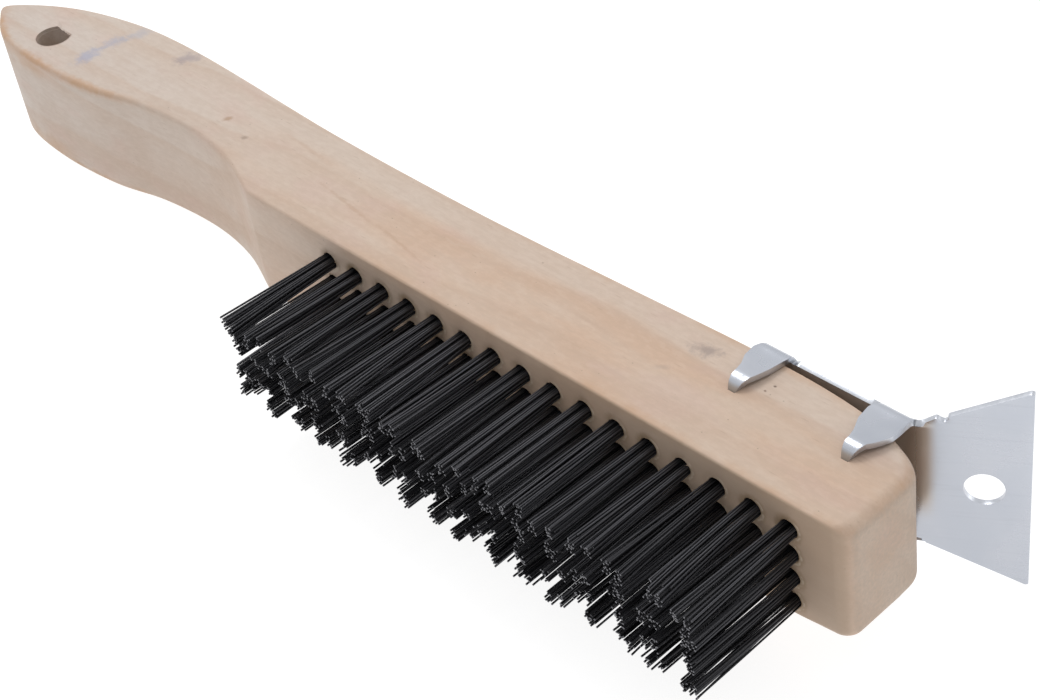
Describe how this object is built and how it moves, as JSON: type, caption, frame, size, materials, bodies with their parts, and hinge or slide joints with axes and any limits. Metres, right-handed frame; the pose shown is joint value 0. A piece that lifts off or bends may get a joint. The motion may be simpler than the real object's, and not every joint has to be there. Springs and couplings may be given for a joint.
{
  "type": "wire brush",
  "caption": "Hand wire scratch brush with a wooden shoe handle, rows of stiff steel wire tufts and a flared steel scraper clawed over the toe.",
  "frame": {"origin": "axis of the hang hole, in the plane of the lower face of the wooden board", "axes": "+X along the brush from the handle tip to the toe, -Y the way the bristles point, +Z through the thickness of the board, away from the face the brush lies on"},
  "size_m": [0.2705, 0.0634, 0.0434],
  "materials": {
    "wood": "unfinished sanded hardwood",
    "zinc_sheet": "bright zinc plating, satin",
    "wire": "oil-blackened carbon steel wire",
    "staple_steel": "bare drawn wire"
  },
  "bodies": {
    "root": {"handle_block": "wood", "scraper": "zinc_sheet", "tufts_col_01": "wire", "tufts_col_02": "wire", "tufts_col_03": "wire", "tufts_col_04": "wire", "tufts_col_05": "wire", "tufts_col_06": "wire", "tufts_col_07": "wire", "tufts_col_08": "wire", "tufts_col_09": "wire", "tufts_col_10": "wire", "tufts_col_11": "wire", "tufts_col_12": "wire", "tufts_col_13": "wire", "tufts_col_14": "wire", "tufts_col_15": "wire", "tufts_col_16": "wire", "staples_col_01": "staple_steel", "staples_col_02": "staple_steel", "staples_col_03": "staple_steel", "staples_col_04": "staple_steel", "staples_col_05": "staple_steel", "staples_col_06": "staple_steel", "staples_col_07": "staple_steel", "staples_col_08": "staple_steel", "staples_col_09": "staple_steel", "staples_col_10": "staple_steel", "staples_col_11": "staple_steel", "staples_col_12": "staple_steel", "staples_col_13": "staple_steel", "staples_col_14": "staple_steel", "staples_col_15": "staple_steel", "staples_col_16": "staple_steel"}
  },
  "joints": []
}
